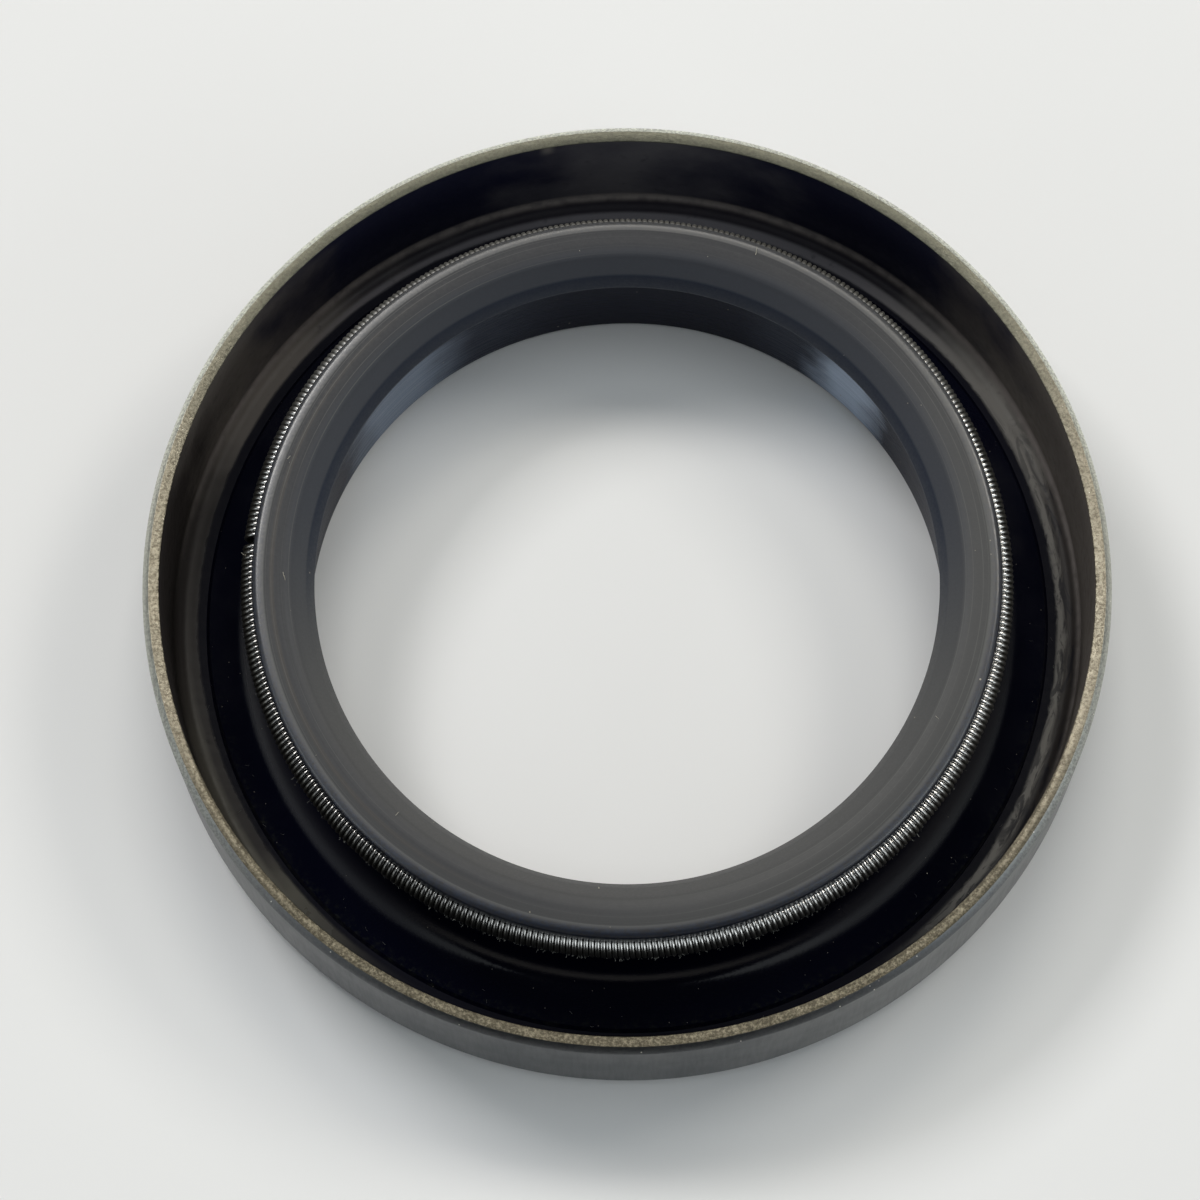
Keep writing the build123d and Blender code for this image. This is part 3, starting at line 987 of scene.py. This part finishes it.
def layLint():
    sizes = lintSizes
    rng = random.Random(7)
    pieces = []
    first, last = sizes["fuzzSpan"]
    for number in range(sizes["fuzz"]):
        degrees = rng.triangular(first, last, sizes["fuzzMost"])
        tilt = math.radians(rng.uniform(*sizes["fuzzTilt"]))
        radius = springSizes["ringRadius"] + math.cos(tilt) * sizes["fuzzReach"]
        height = springSizes["height"] - math.sin(tilt) * sizes["fuzzReach"]
        turn = math.radians(degrees)
        size = sizes["fuzzStep"] * rng.uniform(0.4, 1.5)
        outward = (math.cos(turn) * math.cos(tilt), math.sin(turn) * math.cos(tilt), -math.sin(tilt))
        steps = [[part * size * 0.3 + rng.uniform(-1, 1) * size for part in outward] for step in range(3)]
        thickness = rng.uniform(*sizes["fuzzThickness"])
        pieces.append(drawFibre(ringPoint(radius, degrees, height), thickness, steps))
    for number in range(sizes["skinHairs"]):
        degrees = rng.uniform(*sizes["skinHairSpan"])
        radius = rng.uniform(*sizes["skinHairPlaces"])
        height = sizes["onSkin"] if radius < sizes["skinEnd"] else sizes["onSteel"]
        away = rng.uniform(0, 2 * math.pi)
        steps = []
        for step in range(3):
            away += rng.uniform(-0.6, 0.6)
            length = rng.uniform(*sizes["skinHairStep"])
            steps.append((math.cos(away) * length, math.sin(away) * length, 0.004))
        pieces.append(drawFibre(ringPoint(radius, degrees, height), sizes["skinHairThickness"], steps))
    joinPieces(pieces, "springFuzz", makeLint())
    pieces = []
    for radius, degrees, height, across, along in sizes["hairs"]:
        turn = math.radians(degrees)
        step = ((math.cos(turn) * across - math.sin(turn) * along) / 3,
                (math.sin(turn) * across + math.cos(turn) * along) / 3, 0)
        bent = (step[0] * 0.9 - step[1] * 0.25, step[1] * 0.9 + step[0] * 0.25, 0)
        place = ringPoint(radius, degrees, height)
        pieces.append(drawFibre(place, sizes["hairThickness"], (step, bent, step)))
    for radius, degrees, height, size in sizes["flakes"]:
        steps = ((size * 0.4, size * 0.5, size * 0.25), (-size * 0.3, size * 0.6, 0.01))
        pieces.append(drawFibre(ringPoint(radius, degrees, height), size, steps))
    joinPieces(pieces, "paleFlakes", makeFlake())


layLint()
print("lint laid")


# floor, lights and camera

roomSizes = {
    "floor": 3,                  # metres each way
    "floorColour": (0.8, 0.8, 0.8, 1),
    "floorRoughness": 0.9,
    "air": (0.85, 0.93, 1.0, 1),
    "airStrength": 0.02,
}


def buildFloor():
    clearSelection()
    bpy.ops.mesh.primitive_plane_add(size=roomSizes["floor"], location=(0, 0, 0))
    floor = bpy.context.object
    floor.name = "floor"
    material, tree, shader = startMaterial("paleFloor")
    coat(tree, shader, Base_Color=roomSizes["floorColour"], Roughness=roomSizes["floorRoughness"])
    floor.data.materials.append(material)


lampColours = {"neutral": (1.0, 0.98, 0.96), "warm": (1.0, 0.96, 0.88), "cool": (0.92, 0.98, 1.0)}

lamps = {
    # degrees round from +X and up, sides in metres, watts, colour, and whether glossy surfaces show it
    "farLeft": (134, 48.5, (0.34, 0.26), 4.0, "neutral", True),
    "farRight": (34, 45, (0.34, 0.26), 2.25, "warm", True),
    "farMiddle": (86, 58, (0.4, 0.22), 2.1, "warm", True),
    "highLeft": (190, 55, (0.7, 0.7), 0.75, "cool", True),
    "highRight": (340, 55, (0.7, 0.7), 1.0, "cool", True),
    "overhead": (270, 80, (0.4, 0.4), 1.0, "cool", False),
    "overheadFar": (90, 80, (0.4, 0.3), 0.8, "cool", False),
    "lowRight": (338, 22, (0.7, 0.4), 1.7, "cool", True),
    "lowLeft": (200, 22, (0.7, 0.4), 1.1, "cool", True),
}


def addSoftbox(name, azimuth, elevation, size, watts, colour, inGloss):
    # a metre away from the middle of the seal's back
    turn, lift = math.radians(azimuth), math.radians(elevation)
    place = (math.cos(lift) * math.cos(turn), math.cos(lift) * math.sin(turn), math.sin(lift))
    clearSelection()
    aim = (math.pi / 2 - lift, 0, turn + math.pi / 2)
    bpy.ops.object.light_add(type="AREA", location=place, rotation=aim)
    lamp = bpy.context.object
    lamp.name = name
    lamp.data.shape = "RECTANGLE"
    lamp.data.size, lamp.data.size_y = size
    lamp.data.energy = watts
    lamp.data.color = lampColours[colour]
    lamp.visible_glossy = inGloss


def buildLights():
    for name, settings in lamps.items():
        addSoftbox(name, *settings)
    world = bpy.data.worlds.new("room")
    bpy.context.scene.world = world
    world.use_nodes = True
    plugIn(world.node_tree, world.node_tree.nodes["Background"],
           {"Color": roomSizes["air"], "Strength": roomSizes["airStrength"]})


cameraSizes = {
    "distance": 0.295,            # metres from the middle of the rim
    "elevation": 72.8,
    "roll": 0.15,
    "lens": 126.3,
    "sensor": 36,
    "nearest": 0.01,
    "frameSide": 1200,            # pixels
    "rimPixel": (627.1, 573.9),   # where the middle of the rim stands in the frame
}


def buildCamera():
    sizes = cameraSizes
    lift = math.radians(sizes["elevation"])
    rimHeight = caseHigh[2]
    place = (0, -sizes["distance"] * math.cos(lift), rimHeight + sizes["distance"] * math.sin(lift))
    clearSelection()
    bpy.ops.object.camera_add(location=place, rotation=(math.pi / 2 - lift, 0, 0))
    camera = bpy.context.object
    camera.rotation_euler.rotate_axis("Z", math.radians(-sizes["roll"]))
    camera.data.lens = sizes["lens"]
    camera.data.sensor_width = sizes["sensor"]
    camera.data.sensor_fit = "HORIZONTAL"
    camera.data.shift_x = (sizes["frameSide"] / 2 - sizes["rimPixel"][0]) / sizes["frameSide"]
    camera.data.shift_y = (sizes["rimPixel"][1] - sizes["frameSide"] / 2) / sizes["frameSide"]
    camera.data.clip_start = sizes["nearest"]
    bpy.context.scene.camera = camera


buildFloor()
buildLights()
buildCamera()
print("stage set")
